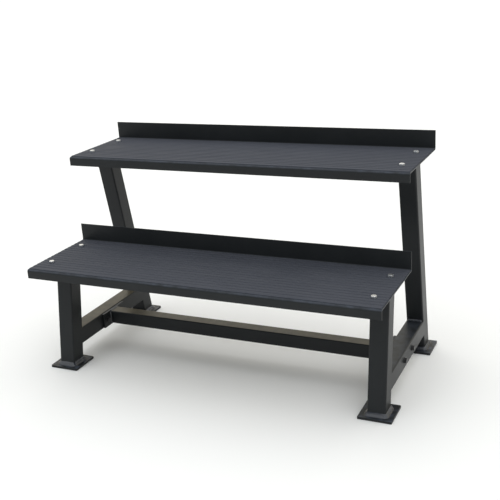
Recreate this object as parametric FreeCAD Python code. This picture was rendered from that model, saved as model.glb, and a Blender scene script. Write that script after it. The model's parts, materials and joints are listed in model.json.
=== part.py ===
import FreeCAD, Part
import math
import os

# A two-tier rack with flat trays for kettlebells and hexagonal dumbbells.
# Millimetres. +X runs along the trays, to the right of a person who faces the rack, +Y runs towards
# its back and +Z is up. The origin is on the floor under the middle of the overall box.
# Distances called SETBACK are measured backwards from the front edge of the lower tray.

# ---- Trays, bent from one steel sheet each ----
TRAY_LENGTH = 1250.0
TRAY_DEPTH = 334.0
TRAY_SHEET = 3.0
BEND_INSIDE = 5.0
FRONT_LIP = 31.5             # the front lip's height below the deck's top face
BACK_LIP = 63.0              # the back lip's height above the deck's top face
LOWER_DECK_Z = 400.5         # top face of the steel deck
UPPER_DECK_Z = 720.5
UPPER_TRAY_SETBACK = 314.0

# ---- Ribbed rubber mats ----
MAT_THICKNESS = 3.0
MAT_GROOVE_WIDTH = 4.0
MAT_GROOVE_DEPTH = 1.0
MAT_RIBS = 16
MAT_EDGE_GAP = 3.0           # from the mat to each end of the tray
MAT_BACK_GAP = 0.5           # from the mat to the back bend

# ---- Side frames, welded from square tube and plate ----
TUBE = 60.0
TUBE_WALL = 3.0
TUBE_CORNER = 5.0
LEG_X = 578.5                # middle of each side frame
FRONT_LEG = {"foot_setback": 111.5, "lean": 8.3}
REAR_LEG = {"foot_setback": 612.2, "lean": -10.7}
RAIL_Z = 95.5                # middle of the side rails, the bolts and the cross beam
FOOT_PLATE = 110.0
FOOT_PLATE_THICKNESS = 8.0
FRONT_FOOT_SETBACK = 115.0
REAR_FOOT_SETBACK = 609.0
PLATE_CORNER = 3.0
TOP_PLATE_LENGTH = 230.0
TOP_PLATE_THICKNESS = 6.0

# ---- Cross beam with a bolting flange at each end ----
BEAM = 50.0
BEAM_SETBACK = 355.0
FLANGE_LENGTH = 140.0
FLANGE_HEIGHT = 56.0
FLANGE_THICKNESS = 8.0
FLANGE_BOLT_SPACING = 98.0

# ---- Welds ----
FOOT_WELD = 10.0
RAIL_WELD = 6.0
BEAM_WELD = 3.0
WELD_TOE = 0.5               # thickness that is left at a ring weld's thin edge

# ---- M10 fasteners ----
THREAD = 10.0
CLEARANCE_HOLE = 11.0
HEX_FLATS = 16.0
HEX_FACE = 15.2              # diameter of the round end face that the chamfer leaves
HEX_CHAMFER_ANGLE = 30.0
BOLT_HEAD_HEIGHT = 6.4
NUT_HEIGHT = 8.4
WASHER_OUTSIDE = 20.0
WASHER_INSIDE = 10.5
WASHER_THICKNESS = 2.0
BEAM_BOLT_LENGTH = 85.0
TRAY_BOLT_LENGTH = 25.0
TRAY_BOLT_SPACING = 177.0    # front to back, between the two bolts on one side of a tray

# ---- Worked out from the dimensions above ----
OVERALL_DEPTH = REAR_FOOT_SETBACK + FOOT_PLATE / 2
FRONT_Y = -OVERALL_DEPTH / 2
BEND_OUTSIDE = BEND_INSIDE + TRAY_SHEET
BEAM_Y = FRONT_Y + BEAM_SETBACK
SIDES = {"left": -1, "right": 1}
LEGS = {"front": FRONT_LEG, "rear": REAR_LEG}
TRAYS = {"lower": (FRONT_Y, LOWER_DECK_Z), "upper": (FRONT_Y + UPPER_TRAY_SETBACK, UPPER_DECK_Z)}
LEG_TRAYS = {"front": TRAYS["lower"], "rear": TRAYS["upper"]}
FOOT_Y = {"front": FRONT_Y + FRONT_FOOT_SETBACK, "rear": FRONT_Y + REAR_FOOT_SETBACK}
RAIL_INSIDE_X = LEG_X - TUBE / 2
RAIL_OUTSIDE_X = LEG_X + TUBE / 2
FLANGE_INSIDE_X = RAIL_INSIDE_X - FLANGE_THICKNESS

X_AXIS = FreeCAD.Vector(1, 0, 0)
Y_AXIS = FreeCAD.Vector(0, 1, 0)
Z_AXIS = FreeCAD.Vector(0, 0, 1)
ORIGIN = FreeCAD.Vector(0, 0, 0)


# ---- Basic shapes ----

def block(centre, size):
    """A box of the given size about a centre."""
    corner = FreeCAD.Vector(*centre) - FreeCAD.Vector(*size) * 0.5
    return Part.makeBox(size[0], size[1], size[2], corner)


def round_long_edges(shape, axis, radius):
    """Round every straight edge that runs along the axis."""
    edges = [edge for edge in shape.Edges if abs(edge.tangentAt(edge.FirstParameter).dot(axis)) > 0.999]
    return shape.makeFillet(radius, edges)


def outline(width, depth, radius, centre):
    """A closed rounded rectangle in a level plane."""
    middle = FreeCAD.Vector(*centre)
    wire = []
    for turn in range(4):
        long_side, half = (width, depth / 2) if turn % 2 == 0 else (depth, width / 2)
        spin = FreeCAD.Rotation(Z_AXIS, 90 * turn)
        reach = long_side / 2 - radius
        start = FreeCAD.Vector(-reach, -half, 0)
        end = FreeCAD.Vector(reach, -half, 0)
        diagonal = radius * math.cos(math.pi / 4)
        corner_middle = end + FreeCAD.Vector(diagonal, radius - diagonal, 0)
        corner_end = end + FreeCAD.Vector(radius, radius, 0)
        points = [middle + spin.multVec(point) for point in (start, end, corner_middle, corner_end)]
        wire.append(Part.LineSegment(points[0], points[1]).toShape())
        wire.append(Part.Arc(points[1], points[2], points[3]).toShape())
    return Part.Wire(wire)


def bar(side, corner, length):
    """A square bar with rounded long edges, standing on the origin."""
    return Part.Face(outline(side, side, corner, (0, 0, 0))).extrude(Z_AXIS * length)


def square_tube(side, length):
    """A square tube with the wall of the frame, standing on the origin."""
    bore = bar(side - 2 * TUBE_WALL, TUBE_CORNER - TUBE_WALL, length)
    return bar(side, TUBE_CORNER, length).cut(bore)


def cylinder_along(axis, radius, start, length):
    """A cylinder from a start point along an axis."""
    return Part.makeCylinder(radius, length, FreeCAD.Vector(*start), axis)


def drilled(shape, axis, start, length):
    """The shape with a clearance hole from a start point along an axis."""
    return shape.cut(cylinder_along(axis, CLEARANCE_HOLE / 2, start, length))


def moved(shape, offset):
    """A copy of a shape at an offset."""
    copy = shape.copy()
    copy.translate(FreeCAD.Vector(*offset))
    return copy


# ---- Legs, side rails and plates ----

def lean_tangent(leg):
    return math.tan(math.radians(leg["lean"]))


def leg_centre_y(leg, z):
    """Where the leg's middle line is at a height."""
    return FRONT_Y + leg["foot_setback"] + z * lean_tangent(leg)


def leg_half_depth(leg):
    """Half of the leg's level cut, front to back."""
    return TUBE / 2 / math.cos(math.radians(leg["lean"]))


def leaning(shape, leg, side):
    """Lean a shape that stands on the origin like a leg, and move it to the leg's place."""
    placed = shape.copy()
    placed.rotate(ORIGIN, X_AXIS, -leg["lean"])
    placed.translate(FreeCAD.Vector(side * LEG_X, leg_centre_y(leg, 0), 0))
    return placed


def leg_envelope(leg, side):
    """The leg as a solid bar that is too long at both ends."""
    spare = TUBE
    shape = moved(bar(TUBE, TUBE_CORNER, UPPER_DECK_Z + 2 * spare), (0, 0, -spare))
    return leaning(shape, leg, side)


def leg_top_z(name):
    return LEG_TRAYS[name][1] - TRAY_SHEET - TOP_PLATE_THICKNESS


def make_leg(name, side):
    """A square tube, cut level to stand on its foot plate and to carry its top plate."""
    leg = LEGS[name]
    spare = TUBE
    tube = moved(square_tube(TUBE, UPPER_DECK_Z + 2 * spare), (0, 0, -spare))
    height = leg_top_z(name) - FOOT_PLATE_THICKNESS
    middle_z = FOOT_PLATE_THICKNESS + height / 2
    slab = block((side * LEG_X, 0, middle_z), (2 * TUBE, 2 * OVERALL_DEPTH, height))
    return leaning(tube, leg, side).common(slab)


def make_side_rail(side):
    """A level tube between the legs, cut to their slopes and drilled for the beam's bolts."""
    start_y = leg_centre_y(FRONT_LEG, RAIL_Z)
    length = leg_centre_y(REAR_LEG, RAIL_Z) - start_y
    rail = square_tube(TUBE, length)
    rail.rotate(ORIGIN, X_AXIS, -90)
    rail.translate(FreeCAD.Vector(side * LEG_X, start_y, RAIL_Z))
    for leg in LEGS.values():
        rail = rail.cut(leg_envelope(leg, side))
    for y in beam_bolt_rows():
        rail = drilled(rail, X_AXIS, (side * LEG_X - TUBE, y, RAIL_Z), 2 * TUBE)
    return rail


def make_foot_plate(name, side):
    centre = (side * LEG_X, FOOT_Y[name], FOOT_PLATE_THICKNESS / 2)
    plate = block(centre, (FOOT_PLATE, FOOT_PLATE, FOOT_PLATE_THICKNESS))
    return round_long_edges(plate, Z_AXIS, PLATE_CORNER)


def make_top_plate(name, side):
    """The plate on top of a leg that the tray is bolted to."""
    tray_y, deck_z = LEG_TRAYS[name]
    top_z = deck_z - TRAY_SHEET
    centre = (side * LEG_X, tray_y + TRAY_DEPTH / 2, top_z - TOP_PLATE_THICKNESS / 2)
    plate = block(centre, (TUBE, TOP_PLATE_LENGTH, TOP_PLATE_THICKNESS))
    plate = round_long_edges(plate, Z_AXIS, PLATE_CORNER)
    for y in tray_bolt_rows(tray_y):
        plate = drilled(plate, Z_AXIS, (side * LEG_X, y, top_z - TUBE), 2 * TUBE)
    return plate


# ---- Welds ----

def ring_weld(width, depth, corner, size, shift):
    """A fillet weld that stands on the origin, round a bar that leans by shift over its height."""
    foot = outline(width + 2 * size, depth + 2 * size, corner + size, (0, 0, 0))
    tip = outline(width + 2 * WELD_TOE, depth + 2 * WELD_TOE, corner + WELD_TOE, (0, shift, size))
    return Part.makeLoft([foot, tip], True, True)


def foot_weld(name, side):
    leg = LEGS[name]
    shape = ring_weld(TUBE, 2 * leg_half_depth(leg), TUBE_CORNER, FOOT_WELD, FOOT_WELD * lean_tangent(leg))
    place = (side * LEG_X, leg_centre_y(leg, FOOT_PLATE_THICKNESS), FOOT_PLATE_THICKNESS)
    return moved(shape, place).cut(leg_envelope(leg, side))


def beam_weld(side):
    shape = ring_weld(BEAM, BEAM, TUBE_CORNER, BEAM_WELD, 0)
    shape.rotate(ORIGIN, Y_AXIS, -90 * side)
    shape.translate(FreeCAD.Vector(side * FLANGE_INSIDE_X, BEAM_Y, RAIL_Z))
    return shape.cut(beam_bar())


def straight_weld(leg, side, face, z, upward):
    """A bead across a leg's front (face -1) or rear (face +1) wall, up or down from a level surface."""
    lean = math.radians(leg["lean"])
    corner = FreeCAD.Vector(0, leg_centre_y(leg, z) + face * leg_half_depth(leg), z)
    along_level = corner + Y_AXIS * (face * RAIL_WELD)
    along_leg = corner + FreeCAD.Vector(0, math.sin(lean), math.cos(lean)) * (upward * RAIL_WELD)
    section = Part.Face(Part.makePolygon([corner, along_level, along_leg, corner]))
    width = TUBE - 2 * TUBE_CORNER
    bead = section.extrude(X_AXIS * width)
    return moved(bead, (side * LEG_X - width / 2, 0, 0))


def rail_welds(side):
    top = RAIL_Z + TUBE / 2
    bottom = RAIL_Z - TUBE / 2
    beads = []
    for leg, face in ((FRONT_LEG, 1), (REAR_LEG, -1)):
        beads.append(straight_weld(leg, side, face, top, 1))
        beads.append(straight_weld(leg, side, face, bottom, -1))
    return beads


def top_plate_welds(side):
    return [straight_weld(LEGS[name], side, face, leg_top_z(name), -1) for name in LEGS for face in (-1, 1)]


# ---- Trays and mats ----

def make_tray(tray_y, deck_z):
    """A flat deck whose front edge is bent down and whose back edge is bent up."""
    front = BEND_OUTSIDE
    back = TRAY_DEPTH - BEND_OUTSIDE
    sheet = TRAY_SHEET
    outer = BEND_OUTSIDE * math.cos(math.pi / 4)
    inner = BEND_INSIDE * math.cos(math.pi / 4)

    def point(y, z):
        return FreeCAD.Vector(-TRAY_LENGTH / 2, tray_y + y, deck_z + z)

    def line(start, end):
        return Part.LineSegment(point(*start), point(*end)).toShape()

    def bend(start, middle, end):
        return Part.Arc(point(*start), point(*middle), point(*end)).toShape()

    section = [
        line((0, -FRONT_LIP), (0, -front)),
        bend((0, -front), (front - outer, outer - front), (front, 0)),
        line((front, 0), (back, 0)),
        bend((back, 0), (back + inner, BEND_INSIDE - inner), (back + BEND_INSIDE, BEND_INSIDE)),
        line((back + BEND_INSIDE, BEND_INSIDE), (back + BEND_INSIDE, BACK_LIP)),
        line((back + BEND_INSIDE, BACK_LIP), (TRAY_DEPTH, BACK_LIP)),
        line((TRAY_DEPTH, BACK_LIP), (TRAY_DEPTH, BEND_INSIDE)),
        bend((TRAY_DEPTH, BEND_INSIDE), (back + outer, BEND_INSIDE - outer), (back, -sheet)),
        line((back, -sheet), (front, -sheet)),
        bend((front, -sheet), (front - inner, inner - front), (sheet, -front)),
        line((sheet, -front), (sheet, -FRONT_LIP)),
        line((sheet, -FRONT_LIP), (0, -FRONT_LIP)),
    ]
    tray = Part.Face(Part.Wire(section)).extrude(X_AXIS * TRAY_LENGTH)
    return drill_bolt_holes(tray, tray_y)


def make_mat(tray_y, deck_z):
    """A rubber mat with flat ribs along the tray."""
    front = tray_y + BEND_OUTSIDE
    depth = TRAY_DEPTH - 2 * BEND_OUTSIDE - MAT_BACK_GAP
    pitch = depth / MAT_RIBS
    top = deck_z + MAT_THICKNESS
    valley = top - MAT_GROOVE_DEPTH
    levels = [(front, deck_z), (front, top)]
    for groove in range(1, MAT_RIBS):
        near = front + groove * pitch - MAT_GROOVE_WIDTH / 2
        far = near + MAT_GROOVE_WIDTH
        levels += [(near, top), (near, valley), (far, valley), (far, top)]
    levels += [(front + depth, top), (front + depth, deck_z), (front, deck_z)]
    end_x = MAT_EDGE_GAP - TRAY_LENGTH / 2
    section = Part.Face(Part.makePolygon([FreeCAD.Vector(end_x, y, z) for y, z in levels]))
    mat = section.extrude(X_AXIS * (TRAY_LENGTH - 2 * MAT_EDGE_GAP))
    return drill_bolt_holes(mat, tray_y)


# ---- Cross beam ----

def beam_bar():
    """The beam as a solid bar between its flanges."""
    return along_x(bar(BEAM, TUBE_CORNER, 2 * FLANGE_INSIDE_X))


def along_x(upright):
    """Lay a beam that stands on the origin between the flanges."""
    placed = upright.copy()
    placed.rotate(ORIGIN, Y_AXIS, 90)
    placed.translate(FreeCAD.Vector(-FLANGE_INSIDE_X, BEAM_Y, RAIL_Z))
    return placed


def make_cross_beam():
    return along_x(square_tube(BEAM, 2 * FLANGE_INSIDE_X))


def make_beam_flange(side):
    centre = (side * (FLANGE_INSIDE_X + FLANGE_THICKNESS / 2), BEAM_Y, RAIL_Z)
    flange = block(centre, (FLANGE_THICKNESS, FLANGE_LENGTH, FLANGE_HEIGHT))
    flange = round_long_edges(flange, X_AXIS, PLATE_CORNER)
    for y in beam_bolt_rows():
        flange = drilled(flange, X_AXIS, (side * LEG_X - TUBE, y, RAIL_Z), 2 * TUBE)
    return flange


# ---- Fasteners: each is made on the origin with +Z out of its head ----

def tray_bolt_rows(tray_y):
    middle = tray_y + TRAY_DEPTH / 2
    return [middle - TRAY_BOLT_SPACING / 2, middle + TRAY_BOLT_SPACING / 2]


def beam_bolt_rows():
    return [BEAM_Y - FLANGE_BOLT_SPACING / 2, BEAM_Y + FLANGE_BOLT_SPACING / 2]


def drill_bolt_holes(sheet, tray_y):
    for side in SIDES.values():
        for y in tray_bolt_rows(tray_y):
            sheet = drilled(sheet, Z_AXIS, (side * LEG_X, y, 0), UPPER_DECK_Z + BACK_LIP)
    return sheet


def hexagon(height):
    """A hexagonal prism with two of its corners on the X axis."""
    radius = HEX_FLATS / math.sqrt(3)
    corners = [math.radians(60 * turn) for turn in range(7)]
    points = [FreeCAD.Vector(radius * math.cos(a), radius * math.sin(a), 0) for a in corners]
    return Part.Face(Part.makePolygon(points)).extrude(Z_AXIS * height)


def chamfered_hexagon(height):
    """A hexagon whose upper corners are turned off by a flat cone."""
    face = HEX_FACE / 2
    cone = Part.makeCone(face + height / math.tan(math.radians(HEX_CHAMFER_ANGLE)), face, height)
    return hexagon(height).common(cone)


def make_nut():
    bore = Part.makeCylinder(THREAD / 2, NUT_HEIGHT)
    return chamfered_hexagon(NUT_HEIGHT).cut(bore)


def make_washer():
    disc = Part.makeCylinder(WASHER_OUTSIDE / 2, WASHER_THICKNESS)
    return disc.cut(Part.makeCylinder(WASHER_INSIDE / 2, WASHER_THICKNESS))


def make_bolt(length):
    """A hexagon bolt whose head stands on the origin and whose shank hangs below."""
    shank = cylinder_along(Z_AXIS, THREAD / 2, (0, 0, -length), length)
    return chamfered_hexagon(BOLT_HEAD_HEIGHT).fuse(shank).removeSplitter()


def hanging(shape, places):
    """Copies of a fastener that point downwards, as under a tray."""
    flipped = shape.copy()
    flipped.rotate(ORIGIN, X_AXIS, 180)
    return [moved(flipped, place) for place in places]


def facing_x(shape, direction, x):
    """Copies of a fastener that point along X, one on each row of the beam's bolts."""
    turned = shape.copy()
    turned.rotate(ORIGIN, Y_AXIS, 90 * direction)
    return [moved(turned, (x, y, RAIL_Z)) for y in beam_bolt_rows()]


def tray_fasteners(name, tray_y, deck_z):
    """The bolts, washers and nuts that hold one tray to its two top plates."""
    plate_underside = deck_z - TRAY_SHEET - TOP_PLATE_THICKNESS
    spots = [(side * LEG_X, y) for side in SIDES.values() for y in tray_bolt_rows(tray_y)]
    bolts = [moved(make_bolt(TRAY_BOLT_LENGTH), (x, y, deck_z + MAT_THICKNESS)) for x, y in spots]
    washers = hanging(make_washer(), [(x, y, plate_underside) for x, y in spots])
    nuts = hanging(make_nut(), [(x, y, plate_underside - WASHER_THICKNESS) for x, y in spots])
    return {
        name + "_tray_bolts": bolts,
        name + "_tray_washers": washers,
        name + "_tray_nuts": nuts,
    }


def beam_fasteners(name, side):
    """The bolts, washers and nuts that hold one beam flange to its side rail."""
    head_x = side * (RAIL_OUTSIDE_X + WASHER_THICKNESS)
    nut_x = side * (FLANGE_INSIDE_X - WASHER_THICKNESS)
    outer_washers = facing_x(make_washer(), side, side * RAIL_OUTSIDE_X)
    inner_washers = facing_x(make_washer(), -side, side * FLANGE_INSIDE_X)
    return {
        "beam_bolts_" + name: facing_x(make_bolt(BEAM_BOLT_LENGTH), side, head_x),
        "beam_bolt_washers_" + name: outer_washers + inner_washers,
        "beam_bolt_nuts_" + name: facing_x(make_nut(), -side, nut_x),
    }


# ---- The whole rack, node by node ----

def build():
    nodes = {"cross_beam": [make_cross_beam()]}
    for side_name, side in SIDES.items():
        for leg_name in LEGS:
            place = leg_name + "_" + side_name
            nodes["leg_" + place] = [make_leg(leg_name, side)]
            nodes["foot_plate_" + place] = [make_foot_plate(leg_name, side)]
            nodes["top_plate_" + place] = [make_top_plate(leg_name, side)]
        nodes["side_rail_" + side_name] = [make_side_rail(side)]
        nodes["beam_flange_" + side_name] = [make_beam_flange(side)]
        nodes.update(beam_fasteners(side_name, side))
    for tray_name, (tray_y, deck_z) in TRAYS.items():
        nodes[tray_name + "_tray"] = [make_tray(tray_y, deck_z)]
        nodes[tray_name + "_mat"] = [make_mat(tray_y, deck_z)]
        nodes.update(tray_fasteners(tray_name, tray_y, deck_z))
    nodes["foot_welds"] = [foot_weld(leg, side) for leg in LEGS for side in SIDES.values()]
    nodes["rail_welds"] = [bead for side in SIDES.values() for bead in rail_welds(side)]
    nodes["top_plate_welds"] = [bead for side in SIDES.values() for bead in top_plate_welds(side)]
    nodes["beam_welds"] = [beam_weld(side) for side in SIDES.values()]
    return nodes


def export(nodes):
    os.makedirs("parts", exist_ok=True)
    for name, pieces in nodes.items():
        solids = [solid for piece in pieces for solid in piece.Solids]
        shape = solids[0] if len(solids) == 1 else Part.makeCompound(solids)
        shape.exportStep("parts/" + name + ".step")


export(build())
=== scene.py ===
import json
import math

import bmesh
import bpy
from mathutils import Matrix, Vector, noise


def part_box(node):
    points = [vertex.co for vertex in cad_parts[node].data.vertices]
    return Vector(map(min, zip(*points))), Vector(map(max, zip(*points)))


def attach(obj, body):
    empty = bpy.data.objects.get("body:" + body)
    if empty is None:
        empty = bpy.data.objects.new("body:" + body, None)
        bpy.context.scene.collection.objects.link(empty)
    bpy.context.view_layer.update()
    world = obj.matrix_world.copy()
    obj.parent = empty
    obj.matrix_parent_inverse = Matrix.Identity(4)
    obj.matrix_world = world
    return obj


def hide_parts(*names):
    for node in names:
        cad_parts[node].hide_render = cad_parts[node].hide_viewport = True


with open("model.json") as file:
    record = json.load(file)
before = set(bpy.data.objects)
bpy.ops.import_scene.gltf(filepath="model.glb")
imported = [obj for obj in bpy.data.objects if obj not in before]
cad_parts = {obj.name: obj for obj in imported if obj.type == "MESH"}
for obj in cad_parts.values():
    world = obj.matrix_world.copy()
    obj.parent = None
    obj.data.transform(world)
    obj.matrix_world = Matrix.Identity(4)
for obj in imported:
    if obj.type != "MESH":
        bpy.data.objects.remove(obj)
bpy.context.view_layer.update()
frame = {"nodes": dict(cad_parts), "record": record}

# A two-tier rack in satin black powder coat with ribbed rubber mats. Metres, in the frame of the CAD model:
# +X along the trays, +Y towards the back, +Z up.

MM = 0.001

# ---- Camera ----
CAMERA_PLACE = (1.2703, -2.5022, 1.3775)
CAMERA_YAW = 25.72            # degrees to the left of straight ahead
CAMERA_PITCH = -19.03         # degrees, downwards is negative
CAMERA_ROLL = -3.705
CAMERA_LENS = 61.96           # millimetres, like the sensor
CAMERA_SENSOR = 36.0
CAMERA_REACH = 400.0

# ---- Studio ----
FLOOR_SIZE = 160.0
FLOOR_COLOUR = (0.94, 0.93, 0.91)
FLOOR_ROUGHNESS = 0.9
FLOOR_SPECULAR = 0.1
FRONT_HORIZON = (0.24, 0.29, 0.31)
BACK_LEFT_HORIZON = (1.15, 1.03, 0.78)
BACK_RIGHT_HORIZON = (0.80, 0.72, 0.50)
ZENITH_COLOUR = (1.38, 1.42, 1.46)
BACKDROP_COLOUR = (1.0, 1.0, 1.0)
LEVEL_FADE = (-0.6, 0.6)      # the part of a direction along X or Y in which one horizon turns into another
UPWARD_FADE = (0.0, 0.9)      # the part along Z in which the horizon turns into the zenith

# ---- Sizes that the CAD boxes don't give ----
TUBE = 60 * MM
TUBE_CORNER = 5 * MM
BEAM = 50 * MM
FOOT_WELD = 10 * MM
RAIL_WELD = 6 * MM
BEAM_WELD = 3 * MM
STEEL_EDGE = 0.6 * MM         # rounding of sheared and sawn edges

MAT_RIBS = 16
GROOVE_WIDTH = 4 * MM
GROOVE_DEPTH = 1 * MM
RIB_SHOULDER = 0.7 * MM
RIB_CROWN = 0.12 * MM
MAT_END_ROUNDING = 0.5 * MM

BOLT_HOLE_RADIUS = 5.5 * MM
THREAD_RADIUS = 5 * MM
THREAD_DEPTH = 0.8 * MM
THREAD_PITCH = 1.5 * MM
TRAY_BOLT_THREAD = 14 * MM
BEAM_BOLT_THREAD = 18 * MM
TIP_CHAMFER = 0.8 * MM
HEX_APOTHEM = 8 * MM
HEX_CORNER = HEX_APOTHEM / math.cos(math.pi / 6)
HEX_FACE_RADIUS = 7.6 * MM    # where the chamfer leaves the end face of a nut or a bolt's head
HEX_CHAMFER = math.radians(30)
BORE_PLAY = 0.02 * MM
BORE_SINK = 0.5 * MM
HEAD_COLLAR = 0.4 * MM        # height of the round bearing face under a bolt's head
WASHER_RADIUS = 10 * MM
WASHER_HOLE = 5.25 * MM
WASHER_EDGE = 0.3 * MM

LEFT_AND_RIGHT = ("left", "right")
SIDE_SIGN = {"left": -1, "right": 1}
TRAY_NAMES = ("lower", "upper")
LEG_NAMES = ("front", "rear")
LEAN = {"front": math.radians(8.3), "rear": math.radians(-10.7)}


# ---- Material nodes ----

NOISE_RANGE = (0.3, 0.7)      # most of a noise texture's values


def new_material(name):
    """A material with its node tree, its shader and its object-space position."""
    material = bpy.data.materials.new(name)
    material.use_nodes = True
    tree = material.node_tree
    shader = tree.nodes["Principled BSDF"]
    position = tree.nodes.new("ShaderNodeTexCoord").outputs["Object"]
    return material, tree, shader, position


def noise_texture(tree, position, scale, detail, stretch=None):
    """Fractal noise of a scale per metre, with its coordinates scaled first where it is stretched."""
    texture = tree.nodes.new("ShaderNodeTexNoise")
    texture.inputs["Scale"].default_value = scale
    texture.inputs["Detail"].default_value = detail
    if stretch:
        mapping = tree.nodes.new("ShaderNodeMapping")
        mapping.inputs["Scale"].default_value = stretch
        tree.links.new(position, mapping.inputs["Vector"])
        position = mapping.outputs["Vector"]
    tree.links.new(position, texture.inputs["Vector"])
    return texture.outputs["Fac"]


def remap(tree, value, low, high, given=NOISE_RANGE):
    """A value of the given range, brought to the range from low to high and kept in it."""
    node = tree.nodes.new("ShaderNodeMapRange")
    node.inputs["From Min"].default_value, node.inputs["From Max"].default_value = given
    node.inputs["To Min"].default_value = low
    node.inputs["To Max"].default_value = high
    tree.links.new(value, node.inputs["Value"])
    return node.outputs["Result"]


def multiply(tree, first, second):
    node = tree.nodes.new("ShaderNodeMath")
    node.operation = "MULTIPLY"
    tree.links.new(first, node.inputs[0])
    tree.links.new(second, node.inputs[1])
    return node.outputs[0]


def mix_colours(tree, value, first, second):
    """Two colours, each a tuple or a socket, mixed by a value."""
    node = tree.nodes.new("ShaderNodeMix")
    node.data_type = "RGBA"
    tree.links.new(value, node.inputs["Factor"])
    for socket, colour in ((node.inputs[6], first), (node.inputs[7], second)):
        if isinstance(colour, tuple):
            socket.default_value = (*colour, 1.0)
        else:
            tree.links.new(colour, socket)
    return node.outputs[2]


def bump(tree, height, distance, normal=None):
    node = tree.nodes.new("ShaderNodeBump")
    node.inputs["Distance"].default_value = distance
    tree.links.new(height, node.inputs["Height"])
    if normal:
        tree.links.new(normal, node.inputs["Normal"])
    return node.outputs["Normal"]


def upward(tree, facing):
    """How much a surface faces up: from 0 to 1 while its normal's height goes through a range."""
    geometry = tree.nodes.new("ShaderNodeNewGeometry")
    parts = tree.nodes.new("ShaderNodeSeparateXYZ")
    tree.links.new(geometry.outputs["Normal"], parts.inputs["Vector"])
    return remap(tree, parts.outputs["Z"], 0.0, 1.0, facing)


# ---- Materials ----

# Dust colour with painted warm light: tops made paler and warmer, as if lit from behind.
DUST_AND_WARM_LIGHT_COLOUR = (0.112, 0.096, 0.062)
# Painted cool skylight with some rubbing: a paler blue-grey put on tops and bends where the sky's light
# falls.
RUBBED_AND_SKYLIT_COLOUR = (0.070, 0.081, 0.105)
LEVEL = (0.85, 0.99)          # normals of level tops
SLOPING = (0.30, 0.75)        # normals of level tops and of bends towards them
COAT_SHADES = ((0.0145, 0.0160, 0.0172), (0.0185, 0.0202, 0.0215))
# The welds' shades are paler and bluer than the coat's: a painted bluish sheen on the beads.
WELD_SHEEN_SHADES = ((0.018, 0.020, 0.027), (0.028, 0.031, 0.040))
COAT_ROUGHNESS = 0.38
COAT_SPECULAR = 0.18
WELD_ROUGHNESS = 0.22
WELD_SPECULAR = 0.7
GLOSS_CHANGE = 0.04
PEEL_DEPTH = 0.05 * MM
COAT_GRAIN_DEPTH = 0.012 * MM

RUBBER_SHADES = ((0.053, 0.057, 0.071), (0.064, 0.068, 0.083))
RUBBER_STREAK = (0.081, 0.084, 0.097)
STREAK_COVER = 0.4
STREAK_STRETCH = (0.12, 1.0, 1.0)
RUBBER_ROUGHNESS = (0.72, 0.84)
RUBBER_SPECULAR = 0.15
PIT_DEPTH = 0.05 * MM
RUBBER_GRAIN_DEPTH = 0.03 * MM

FINE_MARKS = 0.01 * MM
COARSE_MARKS = 0.02 * MM
BRIGHT_SHADES = ((0.72, 0.73, 0.74), (0.80, 0.80, 0.80))
ZINC_SHADES = ((0.42, 0.43, 0.44), (0.56, 0.57, 0.57))
OXIDE_SHADES = ((0.075, 0.076, 0.078), (0.115, 0.115, 0.116))


def powder_coat(name, top=RUBBED_AND_SKYLIT_COLOUR, cover=(0.0, 0.35), facing=LEVEL, shades=COAT_SHADES,
                rough=COAT_ROUGHNESS, specular=COAT_SPECULAR):
    """Black powder coat with an orange-peel skin and slow changes of gloss and shade. Blotches of a paler
    top colour lie
    on its tops: wear and dust together with painted light, the sky's light on upward faces put into the
    colour. Their cover goes from the thinnest to the thickest, and is bare below 0."""
    material, tree, shader, position = new_material(name)
    slow = noise_texture(tree, position, 7.0, 4.0)
    blotches = noise_texture(tree, position, 38.0, 5.0)
    peel = noise_texture(tree, position, 620.0, 2.0)
    grain = noise_texture(tree, position, 2600.0, 2.0)
    body = mix_colours(tree, remap(tree, slow, 0.0, 1.0), *shades)
    # Painted light: upward faces turned paler by the top colour, as where the sky's light falls on them.
    top_cover_and_light = multiply(tree, upward(tree, facing), remap(tree, blotches, *cover))
    tree.links.new(mix_colours(tree, top_cover_and_light, body, top), shader.inputs["Base Color"])
    gloss = remap(tree, slow, rough - GLOSS_CHANGE, rough + GLOSS_CHANGE)
    tree.links.new(gloss, shader.inputs["Roughness"])
    skin = bump(tree, peel, PEEL_DEPTH)
    tree.links.new(bump(tree, grain, COAT_GRAIN_DEPTH, skin), shader.inputs["Normal"])
    shader.inputs["Specular IOR Level"].default_value = specular
    return material


def rubber():
    """Dark blue-grey rubber with a matt grain and faint paler streaks along the ribs."""
    material, tree, shader, position = new_material("dark_ribbed_rubber")
    slow = noise_texture(tree, position, 4.0, 4.0)
    along = noise_texture(tree, position, 55.0, 4.0, STREAK_STRETCH)
    grain = noise_texture(tree, position, 1400.0, 3.0)
    pits = noise_texture(tree, position, 420.0, 2.0)
    body = mix_colours(tree, remap(tree, slow, 0.0, 1.0), *RUBBER_SHADES)
    streaks = mix_colours(tree, remap(tree, along, 0.0, STREAK_COVER), body, RUBBER_STREAK)
    tree.links.new(streaks, shader.inputs["Base Color"])
    tree.links.new(remap(tree, slow, *RUBBER_ROUGHNESS), shader.inputs["Roughness"])
    skin = bump(tree, pits, PIT_DEPTH)
    tree.links.new(bump(tree, grain, RUBBER_GRAIN_DEPTH, skin), shader.inputs["Normal"])
    shader.inputs["Specular IOR Level"].default_value = RUBBER_SPECULAR
    return material


def metal(name, shades, roughness, mark_depth):
    """Plated or oxidised steel with marks and uneven gloss."""
    material, tree, shader, position = new_material(name)
    slow = noise_texture(tree, position, 160.0, 4.0)
    marks = noise_texture(tree, position, 2400.0, 2.0)
    tree.links.new(mix_colours(tree, remap(tree, slow, 0.0, 1.0), *shades), shader.inputs["Base Color"])
    tree.links.new(remap(tree, slow, *roughness), shader.inputs["Roughness"])
    tree.links.new(bump(tree, marks, mark_depth), shader.inputs["Normal"])
    shader.inputs["Metallic"].default_value = 1.0
    return material


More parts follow.
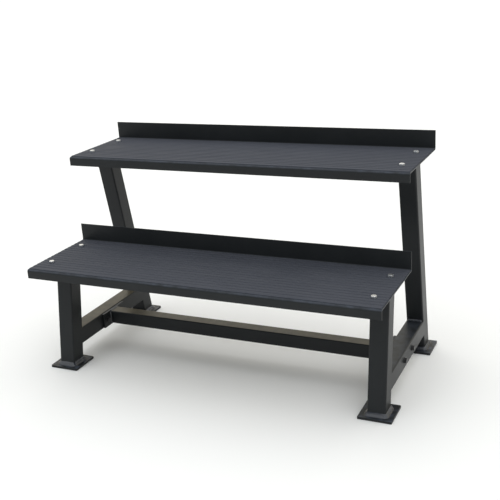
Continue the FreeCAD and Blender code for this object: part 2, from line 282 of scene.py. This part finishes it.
MATERIALS = {
    "powder_coat": powder_coat("satin_black_coat"),
    "coated_weld": powder_coat("coated_bead", shades=WELD_SHEEN_SHADES, rough=WELD_ROUGHNESS,
                               specular=WELD_SPECULAR),
    "ribbed_rubber": rubber(),
    "bright_plating": metal("bright_plating", BRIGHT_SHADES, (0.34, 0.44), FINE_MARKS),
    "zinc_hardware": metal("dull_zinc", ZINC_SHADES, (0.26, 0.42), COARSE_MARKS),
    "black_oxide": metal("blackened_steel", OXIDE_SHADES, (0.34, 0.48), COARSE_MARKS),
}
# Dust on the beam's and left rail's tops, together with painted warm light falling on them from behind.
DUSTY_WARM_LIT_COAT = powder_coat("dusty_warm_lit_black_coat", DUST_AND_WARM_LIGHT_COLOUR, (0.4, 0.8))
# Painted highlight: the trays' tops and front bends paler and bluer, standing in for the sky's reflection
# on the noses.
SKY_HIGHLIT_COAT = powder_coat("sky_highlit_black_coat", RUBBED_AND_SKYLIT_COLOUR, (0.15, 0.65), SLOPING)
# Scuffs on the foot plates' tops in the same paler blue-grey, partly painted skylight.
SCUFFED_SKYLIT_COAT = powder_coat("scuffed_skylit_black_coat", RUBBED_AND_SKYLIT_COLOUR, (-0.4, 0.8))
NODE_SLOTS = {row["node"]: row["material_slot"] for row in frame["record"]["subparts"]}
NODE_MATERIALS = {
    "cross_beam": DUSTY_WARM_LIT_COAT, "side_rail_left": DUSTY_WARM_LIT_COAT,
    "lower_tray": SKY_HIGHLIT_COAT, "upper_tray": SKY_HIGHLIT_COAT,
    "foot_plate_front_left": SCUFFED_SKYLIT_COAT, "foot_plate_front_right": SCUFFED_SKYLIT_COAT,
    "foot_plate_rear_left": SCUFFED_SKYLIT_COAT, "foot_plate_rear_right": SCUFFED_SKYLIT_COAT,
}


def node_material(name):
    """A node's own material, or else its slot's."""
    return NODE_MATERIALS.get(name, MATERIALS[NODE_SLOTS[name]])


# ---- Mesh building ----

STEEL_SMOOTHING = 35          # degrees between faces up to which a piece is shaded smooth
MAT_SMOOTHING = 50
FASTENER_SMOOTHING = 28
BEAD_SMOOTHING = 60
SHARP_EDGE = math.radians(40)
FLAT_JOINT = math.radians(0.5)
SAME_POINT = 0.001 * MM


def finish_piece(name, work, smooth_angle):
    """The visible piece that stands for the CAD node of the same name."""
    bmesh.ops.recalc_face_normals(work, faces=work.faces[:])
    mesh = bpy.data.meshes.new(name)
    work.to_mesh(mesh)
    work.free()
    mesh.materials.append(node_material(name))
    mesh.shade_smooth()
    mesh.set_sharp_from_angle(angle=math.radians(smooth_angle))
    piece = bpy.data.objects.new(name + ".visual", mesh)
    bpy.context.scene.collection.objects.link(piece)
    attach(piece, "root")
    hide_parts(name)
    return piece


def softened(name, width):
    """The CAD node with its sharp edges rounded off."""
    work = bmesh.new()
    work.from_mesh(frame["nodes"][name].data)
    bmesh.ops.remove_doubles(work, verts=work.verts[:], dist=SAME_POINT)
    bmesh.ops.dissolve_limit(work, angle_limit=FLAT_JOINT, verts=work.verts[:], edges=work.edges[:])
    sharp = [edge for edge in work.edges if edge.is_manifold and edge.calc_face_angle() > SHARP_EDGE]
    bmesh.ops.bevel(work, geom=sharp, offset=width, segments=2, profile=0.6, affect="EDGES",
                    clamp_overlap=True)
    piece = finish_piece(name, work, STEEL_SMOOTHING)
    piece.modifiers.new("even_faces", "WEIGHTED_NORMAL").keep_sharp = True


def add_rows(work, rows, place=Matrix.Identity(4)):
    return [[work.verts.new(place @ point) for point in row] for row in rows]


def join_rows(work, rows, loop=False):
    """Quads between neighbouring closed rows of vertices, and from the last to the first row of a loop."""
    pairs = list(zip(rows, rows[1:]))
    if loop:
        pairs.append((rows[-1], rows[0]))
    for first, second in pairs:
        for j in range(len(first)):
            k = (j + 1) % len(first)
            work.faces.new((first[j], first[k], second[k], second[j]))


def close_ends(work, rows):
    work.faces.new(rows[0][::-1])
    work.faces.new(rows[-1])


# ---- Ribbed mats ----

def mat_outline(front, back, bottom, top):
    """The mat's section: ribs with a slight crown and rounded shoulders, between square grooves."""
    pitch = (back - front) / MAT_RIBS
    valley = top - GROOVE_DEPTH
    shoulder = []
    for degrees in (90, 60, 30, 0):
        angle = math.radians(degrees)
        inwards = RIB_SHOULDER * (1 - math.cos(angle))
        shoulder.append((inwards, top - RIB_CROWN - RIB_SHOULDER * (1 - math.sin(angle))))
    points = [(front, bottom)]
    for rib in range(MAT_RIBS):
        near = front + rib * pitch + (GROOVE_WIDTH / 2 if rib else 0)
        far = front + (rib + 1) * pitch - (GROOVE_WIDTH / 2 if rib < MAT_RIBS - 1 else 0)
        if rib:
            points.append((near, valley))
        points += [(near + inwards, z) for inwards, z in reversed(shoulder)]
        points.append(((near + far) / 2, top))
        points += [(far - inwards, z) for inwards, z in shoulder]
        if rib < MAT_RIBS - 1:
            points.append((far, valley))
    points.append((back, bottom))
    return points


def make_mat(tray):
    """A mat with rounded ends and a hole for each bolt."""
    name = tray + "_mat"
    low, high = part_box(name)
    section = mat_outline(low.y, high.y, low.z, high.z)
    sections = []
    for side, turn in ((-1, (0, 45, 90)), (1, (90, 45, 0))):
        for degrees in turn:
            angle = math.radians(degrees)
            x = side * (high.x - MAT_END_ROUNDING * (1 - math.cos(angle)))
            sink = MAT_END_ROUNDING * (1 - math.sin(angle))
            sections.append([Vector((x, y, max(z - sink, low.z))) for y, z in section])
    work = bmesh.new()
    rows = add_rows(work, sections)
    join_rows(work, rows)
    close_ends(work, rows)
    piece = finish_piece(name, work, MAT_SMOOTHING)
    cut_bolt_holes(piece, tray, low.z, high.z)


def tray_bolt_places(tray):
    """The middles of a tray's four bolts, from their node's box. Each head has two corners along X."""
    low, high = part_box(tray + "_tray_bolts")
    reach_x = high.x - HEX_CORNER
    near = low.y + HEX_APOTHEM
    far = high.y - HEX_APOTHEM
    return [(side * reach_x, y) for side in (-1, 1) for y in (near, far)]


def cut_bolt_holes(piece, tray, bottom, top):
    """Holes through a mat, cut by cylinders that reach well past both of its faces."""
    reach = 4 * (top - bottom)
    work = bmesh.new()
    for x, y in tray_bolt_places(tray):
        middle = Matrix.Translation((x, y, (bottom + top) / 2))
        bmesh.ops.create_cone(work, cap_ends=True, segments=SEGMENTS, radius1=BOLT_HOLE_RADIUS,
                              radius2=BOLT_HOLE_RADIUS, depth=reach, matrix=middle)
    mesh = bpy.data.meshes.new("bolt_holes")
    work.to_mesh(mesh)
    work.free()
    cutter = bpy.data.objects.new("bolt_holes", mesh)
    bpy.context.scene.collection.objects.link(cutter)
    modifier = piece.modifiers.new("bolt_holes", "BOOLEAN")
    modifier.operation = "DIFFERENCE"
    modifier.solver = "EXACT"
    modifier.object = cutter
    bpy.context.view_layer.update()
    evaluated = piece.evaluated_get(bpy.context.evaluated_depsgraph_get())
    cut = bpy.data.meshes.new_from_object(evaluated)
    piece.modifiers.clear()
    piece.data = cut
    bpy.data.objects.remove(cutter)


# ---- Fasteners: rings of points about +Z, which points out of the head ----

SEGMENTS = 48                 # points round a fastener, a multiple of 6
THREAD_STEPS = 6              # rings to one turn of a thread


def ring(radius, z):
    """A ring of points whose radius and height may be functions of the angle."""
    points = []
    for step in range(SEGMENTS):
        angle = 2 * math.pi * step / SEGMENTS
        reach = radius(angle) if callable(radius) else radius
        height = z(angle) if callable(z) else z
        points.append(Vector((reach * math.cos(angle), reach * math.sin(angle), height)))
    return points


def hexagon(apothem):
    """The radius of a hexagon at an angle."""
    return lambda angle: apothem / math.cos(angle % (math.pi / 3) - math.pi / 6)


def chamfered(end, inwards):
    """The height of a hexagon's chamfered edge at an angle, where its end face is at a height."""
    side = hexagon(HEX_APOTHEM)
    return lambda angle: end + inwards * max(0.0, side(angle) - HEX_FACE_RADIUS) * math.tan(HEX_CHAMFER)


def thread_rings(start, end):
    """A right-hand thread downwards from start to a chamfered tip at end."""
    rings = []
    step = THREAD_PITCH / THREAD_STEPS
    count = int((start - end) / step)
    for i in range(count):
        z = start - i * step
        run_in = min(1.0, i / THREAD_STEPS)
        crest_limit = THREAD_RADIUS - max(0.0, TIP_CHAMFER - (z - end))

        def radius(angle, z=z, run_in=run_in, crest_limit=crest_limit):
            phase = (z / THREAD_PITCH - angle / (2 * math.pi)) % 1.0
            crest = abs(2 * phase - 1)
            return min(THREAD_RADIUS - THREAD_DEPTH * run_in * (1 - crest), crest_limit)

        rings.append(ring(radius, z))
    rings.append(ring(THREAD_RADIUS - TIP_CHAMFER, end))
    return rings


def bolt_rings(head_height, length, thread_length):
    """A hexagon bolt from the face of its head down to its tip."""
    side = hexagon(HEX_APOTHEM)
    shank_end = thread_length - length
    rings = [ring(HEX_FACE_RADIUS / 2, head_height), ring(HEX_FACE_RADIUS, head_height),
             ring(side, chamfered(head_height, -1)), ring(side, HEAD_COLLAR),
             ring(HEX_FACE_RADIUS, HEAD_COLLAR), ring(HEX_FACE_RADIUS, 0.0),
             ring(THREAD_RADIUS, 0.0), ring(THREAD_RADIUS, shank_end)]
    return rings + thread_rings(shank_end, -length)


def nut_rings(height):
    """A nut, chamfered at both ends, with a countersunk bore. The last ring joins the first."""
    side = hexagon(HEX_APOTHEM)
    bore = THREAD_RADIUS + BORE_PLAY
    mouth = bore + BORE_SINK
    return [ring(HEX_FACE_RADIUS, height), ring(side, chamfered(height, -1)),
            ring(side, chamfered(0.0, 1)), ring(HEX_FACE_RADIUS, 0.0),
            ring(mouth, 0.0), ring(bore, BORE_SINK),
            ring(bore, height - BORE_SINK), ring(mouth, height)]


def washer_rings(thickness):
    """A washer with rounded edges. The last ring joins the first."""
    outer, inner, edge = WASHER_RADIUS, WASHER_HOLE, WASHER_EDGE
    return [ring(outer - edge, thickness), ring(outer, thickness - edge),
            ring(outer, edge), ring(outer - edge, 0.0),
            ring(inner + edge, 0.0), ring(inner, edge),
            ring(inner, thickness - edge), ring(inner + edge, thickness)]


def make_fasteners(name, rings, places, hollow=False):
    """One piece of several equal fasteners."""
    work = bmesh.new()
    for place in places:
        rows = add_rows(work, rings, place)
        join_rows(work, rows, hollow)
        if not hollow:
            close_ends(work, rows)
    finish_piece(name, work, FASTENER_SMOOTHING)


def make_tray_fasteners(tray):
    """The bolts' heads stand on the mat; washers and nuts hang under the top plates."""
    bolt_low, bolt_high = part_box(tray + "_tray_bolts")
    mat_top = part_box(tray + "_mat")[1].z
    washer_low, washer_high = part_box(tray + "_tray_washers")
    nut_low, nut_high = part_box(tray + "_tray_nuts")
    spots = tray_bolt_places(tray)
    rings = bolt_rings(bolt_high.z - mat_top, mat_top - bolt_low.z, TRAY_BOLT_THREAD)
    make_fasteners(tray + "_tray_bolts", rings, [Matrix.Translation((x, y, mat_top)) for x, y in spots])
    over = Matrix.Rotation(math.pi, 4, "X")
    make_fasteners(tray + "_tray_washers", washer_rings(washer_high.z - washer_low.z),
                   [Matrix.Translation((x, y, washer_high.z)) @ over for x, y in spots], True)
    make_fasteners(tray + "_tray_nuts", nut_rings(nut_high.z - nut_low.z),
                   [Matrix.Translation((x, y, nut_high.z)) @ over for x, y in spots], True)


def make_beam_fasteners(side_name):
    """Bolts whose heads are outside the side rail, with nuts inside the beam's flange."""
    side = SIDE_SIGN[side_name]
    outer, inner = (1, 0) if side > 0 else (0, 1)
    bolt_low, bolt_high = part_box("beam_bolts_" + side_name)
    washer_low, washer_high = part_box("beam_bolt_washers_" + side_name)
    nut_low, nut_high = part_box("beam_bolt_nuts_" + side_name)
    bolt_ends = (bolt_low.x, bolt_high.x)
    washer_faces = (washer_low.x, washer_high.x)
    nut_faces = (nut_low.x, nut_high.x)
    rail_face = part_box("side_rail_" + side_name)[outer].x
    washer_thickness = abs(washer_faces[outer] - rail_face)
    head_height = abs(bolt_ends[outer] - washer_faces[outer])
    length = abs(washer_faces[outer] - bolt_ends[inner])
    z = (nut_low.z + nut_high.z) / 2
    rows_y = (washer_low.y + WASHER_RADIUS, washer_high.y - WASHER_RADIUS)
    outwards = Matrix.Rotation(side * math.pi / 2, 4, "Y")
    inwards = Matrix.Rotation(-side * math.pi / 2, 4, "Y")

    def places(x, turn):
        return [Matrix.Translation((x, y, z)) @ turn for y in rows_y]

    make_fasteners("beam_bolts_" + side_name, bolt_rings(head_height, length, BEAM_BOLT_THREAD),
                   places(washer_faces[outer], outwards))
    make_fasteners("beam_bolt_washers_" + side_name, washer_rings(washer_thickness),
                   places(rail_face, outwards) + places(washer_faces[inner], outwards), True)
    make_fasteners("beam_bolt_nuts_" + side_name, nut_rings(nut_high.x - nut_low.x),
                   places(nut_faces[outer], inwards), True)


# ---- Weld beads ----

RIPPLE_PITCH = 2.8 * MM
RIPPLE_HEIGHT = 0.080         # of the bead's size
RIPPLE_STEPS = 6              # sections to one ripple
RIPPLE_SPREAD = 0.04          # how far a ripple pushes the bead's toes out, of their distance
RIPPLE_ROUNDNESS = 0.6        # below 1 the ripples are full, with sharp valleys between them
LUMP_HEIGHT = 0.15
LUMP_BULGE = 1.5
LUMP_SCALE = 70.0             # lumps per metre
SECOND_LUMPS = Vector((7.3, 1.9, 4.1))    # takes the second toe's lumps from elsewhere in the noise
BULGE = 0.07
CRESCENT = 0.45               # how far a ripple bends forwards in the middle, of the bead's size
FACE_POINTS = 11
BEAD_TAPER = 5 * MM           # length of the rounded end of an open bead
BEAD_END = 0.15               # size of an open bead's end, of its full size


def bead_row(root, first, second, size, ripple):
    """The section of a fillet bead: its root and a rippled face from one toe to the other."""
    lump = noise.noise(root * LUMP_SCALE)
    second_lump = noise.noise(root * LUMP_SCALE + SECOND_LUMPS)
    first_leg = size * (1 + LUMP_HEIGHT * lump)
    second_leg = size * (1 + LUMP_HEIGHT * second_lump)
    out = (first + second).normalized()
    row = [root]
    for i in range(FACE_POINTS):
        t = i / (FACE_POINTS - 1)
        arch = math.sin(math.pi * t)
        phase = ripple + CRESCENT * size / RIPPLE_PITCH * arch
        scallop = abs(math.sin(math.pi * phase)) ** RIPPLE_ROUNDNESS
        bulge = BULGE * arch * (1 + LUMP_BULGE * lump)
        lift = size * (bulge + RIPPLE_HEIGHT * (scallop - 0.5) * arch ** 0.5)
        spread = 1 + RIPPLE_SPREAD * scallop
        along_first = first * first_leg * spread * (1 - t)
        along_second = second * second_leg * spread * t
        row.append(root + along_first + along_second + out * lift)
    return row


def ring_station(width, depth, corner, distance):
    """A point of a rounded rectangle and its outward normal, at a distance along the outline."""
    for turn in range(4):
        this_side, half = (width, depth / 2) if turn % 2 == 0 else (depth, width / 2)
        spin = Matrix.Rotation(turn * math.pi / 2, 2)
        reach = this_side / 2 - corner
        if distance < 2 * reach:
            return spin @ Vector((distance - reach, -half)), spin @ Vector((0, -1))
        distance -= 2 * reach
        if distance < corner * math.pi / 2:
            angle = distance / corner
            normal = Vector((math.sin(angle), -math.cos(angle)))
            return spin @ (Vector((reach, corner - half)) + normal * corner), spin @ normal
        distance -= corner * math.pi / 2
    return ring_station(width, depth, corner, 0.0)


def ring_bead(work, width, depth, corner, size, to_world, second):
    """A bead round a bar, whose section plane to_world places. second is the direction along the bar."""
    length = 2 * (width + depth - 4 * corner) + 2 * math.pi * corner
    count = round(length / RIPPLE_PITCH) * RIPPLE_STEPS
    rows = []
    for i in range(count):
        point, normal = ring_station(width, depth, corner, length * i / count)
        root = to_world @ Vector((*point, 0.0))
        first = to_world.to_3x3() @ Vector((*normal, 0.0))
        rows.append(bead_row(root, first, second, size, i / RIPPLE_STEPS))
    join_rows(work, add_rows(work, rows), True)


def straight_bead(work, start, end, first, second, size):
    """A bead along a line, rounded off at both ends."""
    length = (end - start).length
    count = round(length / RIPPLE_PITCH) * RIPPLE_STEPS
    rows = []
    for i in range(count + 1):
        distance = length * i / count
        near_end = min(distance, length - distance) / BEAD_TAPER
        rounding = math.sqrt(max(0.0, 1 - max(0.0, 1 - near_end) ** 2))
        fullness = rounding * (1 - BEAD_END) + BEAD_END
        rows.append(bead_row(start.lerp(end, i / count), first, second, size * fullness, i / RIPPLE_STEPS))
    rows = add_rows(work, rows)
    join_rows(work, rows)
    close_ends(work, rows)


def leg_y(leg, side_name, z):
    """Where the leg's middle line is at a height. Its box reaches furthest at the foot."""
    low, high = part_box("leg_" + leg + "_" + side_name)
    half_depth = TUBE / 2 / math.cos(LEAN[leg])
    foot_y = low.y + half_depth if LEAN[leg] > 0 else high.y - half_depth
    return foot_y + (z - low.z) * math.tan(LEAN[leg])


def leg_x(side_name):
    low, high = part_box("leg_front_" + side_name)
    return (low.x + high.x) / 2


def make_foot_welds():
    work = bmesh.new()
    for leg in LEG_NAMES:
        for side_name in LEFT_AND_RIGHT:
            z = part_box("leg_" + leg + "_" + side_name)[0].z
            place = Matrix.Translation((leg_x(side_name), leg_y(leg, side_name, z), z))
            along_leg = Vector((0, math.sin(LEAN[leg]), math.cos(LEAN[leg])))
            ring_bead(work, TUBE, TUBE / math.cos(LEAN[leg]), TUBE_CORNER, FOOT_WELD, place, along_leg)
    finish_piece("foot_welds", work, BEAD_SMOOTHING)


def make_beam_welds():
    work = bmesh.new()
    low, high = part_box("cross_beam")
    middle = (low + high) / 2
    along_beam = Matrix.Rotation(math.pi / 2, 4, "Y")
    for side in (-1, 1):
        place = Matrix.Translation((side * high.x, middle.y, middle.z)) @ along_beam
        ring_bead(work, BEAM, BEAM, TUBE_CORNER, BEAM_WELD, place, Vector((-side, 0, 0)))
    finish_piece("beam_welds", work, BEAD_SMOOTHING)


def leg_bead(work, leg, side_name, face, z, upwards):
    """A bead across a leg's front (face -1) or rear (face +1) wall, above or below a level surface."""
    y = leg_y(leg, side_name, z) + face * TUBE / 2 / math.cos(LEAN[leg])
    reach = TUBE / 2 - TUBE_CORNER
    start = Vector((leg_x(side_name) - reach, y, z))
    end = Vector((leg_x(side_name) + reach, y, z))
    along_leg = Vector((0, math.sin(LEAN[leg]), math.cos(LEAN[leg]))) * upwards
    straight_bead(work, start, end, Vector((0, face, 0)), along_leg, RAIL_WELD)


def make_rail_welds():
    work = bmesh.new()
    for side_name in LEFT_AND_RIGHT:
        low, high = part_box("side_rail_" + side_name)
        for leg, face in (("front", 1), ("rear", -1)):
            leg_bead(work, leg, side_name, face, high.z, 1)
            leg_bead(work, leg, side_name, face, low.z, -1)
    finish_piece("rail_welds", work, BEAD_SMOOTHING)


def make_top_plate_welds():
    work = bmesh.new()
    for side_name in LEFT_AND_RIGHT:
        for leg in LEG_NAMES:
            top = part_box("leg_" + leg + "_" + side_name)[1].z
            for face in (-1, 1):
                leg_bead(work, leg, side_name, face, top, -1)
    finish_piece("top_plate_welds", work, BEAD_SMOOTHING)


# ---- Studio ----

def make_floor():
    bpy.ops.mesh.primitive_plane_add(size=FLOOR_SIZE, location=(0, 0, 0))
    floor = bpy.context.object
    floor.name = "studio_floor"
    material, _, shader, _ = new_material("studio_floor")
    shader.inputs["Base Color"].default_value = (*FLOOR_COLOUR, 1.0)
    shader.inputs["Roughness"].default_value = FLOOR_ROUGHNESS
    shader.inputs["Specular IOR Level"].default_value = FLOOR_SPECULAR
    floor.data.materials.append(material)


def make_sky():
    """Soft light from all round: brightest overhead, warm low behind the rack and dim low in front of it.
    What shows of it past the floor's edge is plain white."""
    world = bpy.data.worlds.new("studio")
    world.use_nodes = True
    tree = world.node_tree
    direction = tree.nodes.new("ShaderNodeTexCoord").outputs["Generated"]
    parts = tree.nodes.new("ShaderNodeSeparateXYZ")
    tree.links.new(direction, parts.inputs["Vector"])
    rightwards = remap(tree, parts.outputs["X"], 0.0, 1.0, LEVEL_FADE)
    behind = remap(tree, parts.outputs["Y"], 0.0, 1.0, LEVEL_FADE)
    height = remap(tree, parts.outputs["Z"], 0.0, 1.0, UPWARD_FADE)
    back_horizon = mix_colours(tree, rightwards, BACK_LEFT_HORIZON, BACK_RIGHT_HORIZON)
    horizon = mix_colours(tree, behind, FRONT_HORIZON, back_horizon)
    sky = mix_colours(tree, height, horizon, ZENITH_COLOUR)
    seen = tree.nodes.new("ShaderNodeLightPath").outputs["Is Camera Ray"]
    backdrop = mix_colours(tree, seen, sky, BACKDROP_COLOUR)
    tree.links.new(backdrop, tree.nodes["Background"].inputs["Color"])
    bpy.context.scene.world = world


def add_camera():
    camera = bpy.data.cameras.new("photo_view")
    camera.lens = CAMERA_LENS
    camera.sensor_width = CAMERA_SENSOR
    camera.clip_end = CAMERA_REACH
    body = bpy.data.objects.new("photo_view", camera)
    yaw = Matrix.Rotation(math.radians(CAMERA_YAW), 4, "Z")
    pitch = Matrix.Rotation(math.radians(90 + CAMERA_PITCH), 4, "X")
    roll = Matrix.Rotation(math.radians(CAMERA_ROLL), 4, "Z")
    body.matrix_world = Matrix.Translation(CAMERA_PLACE) @ yaw @ pitch @ roll
    bpy.context.scene.collection.objects.link(body)
    bpy.context.scene.camera = body


# ---- The whole scene ----

add_camera()
make_floor()
make_sky()
for node in NODE_SLOTS:
    frame["nodes"][node].data.materials.clear()
    frame["nodes"][node].data.materials.append(node_material(node))
for tray in TRAY_NAMES:
    softened(tray + "_tray", STEEL_EDGE)
    make_mat(tray)
    make_tray_fasteners(tray)
for side_name in LEFT_AND_RIGHT:
    for leg in LEG_NAMES:
        softened("foot_plate_" + leg + "_" + side_name, STEEL_EDGE)
        softened("top_plate_" + leg + "_" + side_name, STEEL_EDGE)
    softened("beam_flange_" + side_name, STEEL_EDGE)
    make_beam_fasteners(side_name)
make_foot_welds()
make_rail_welds()
make_top_plate_welds()
make_beam_welds()
bpy.context.scene.view_settings.view_transform = "Standard"
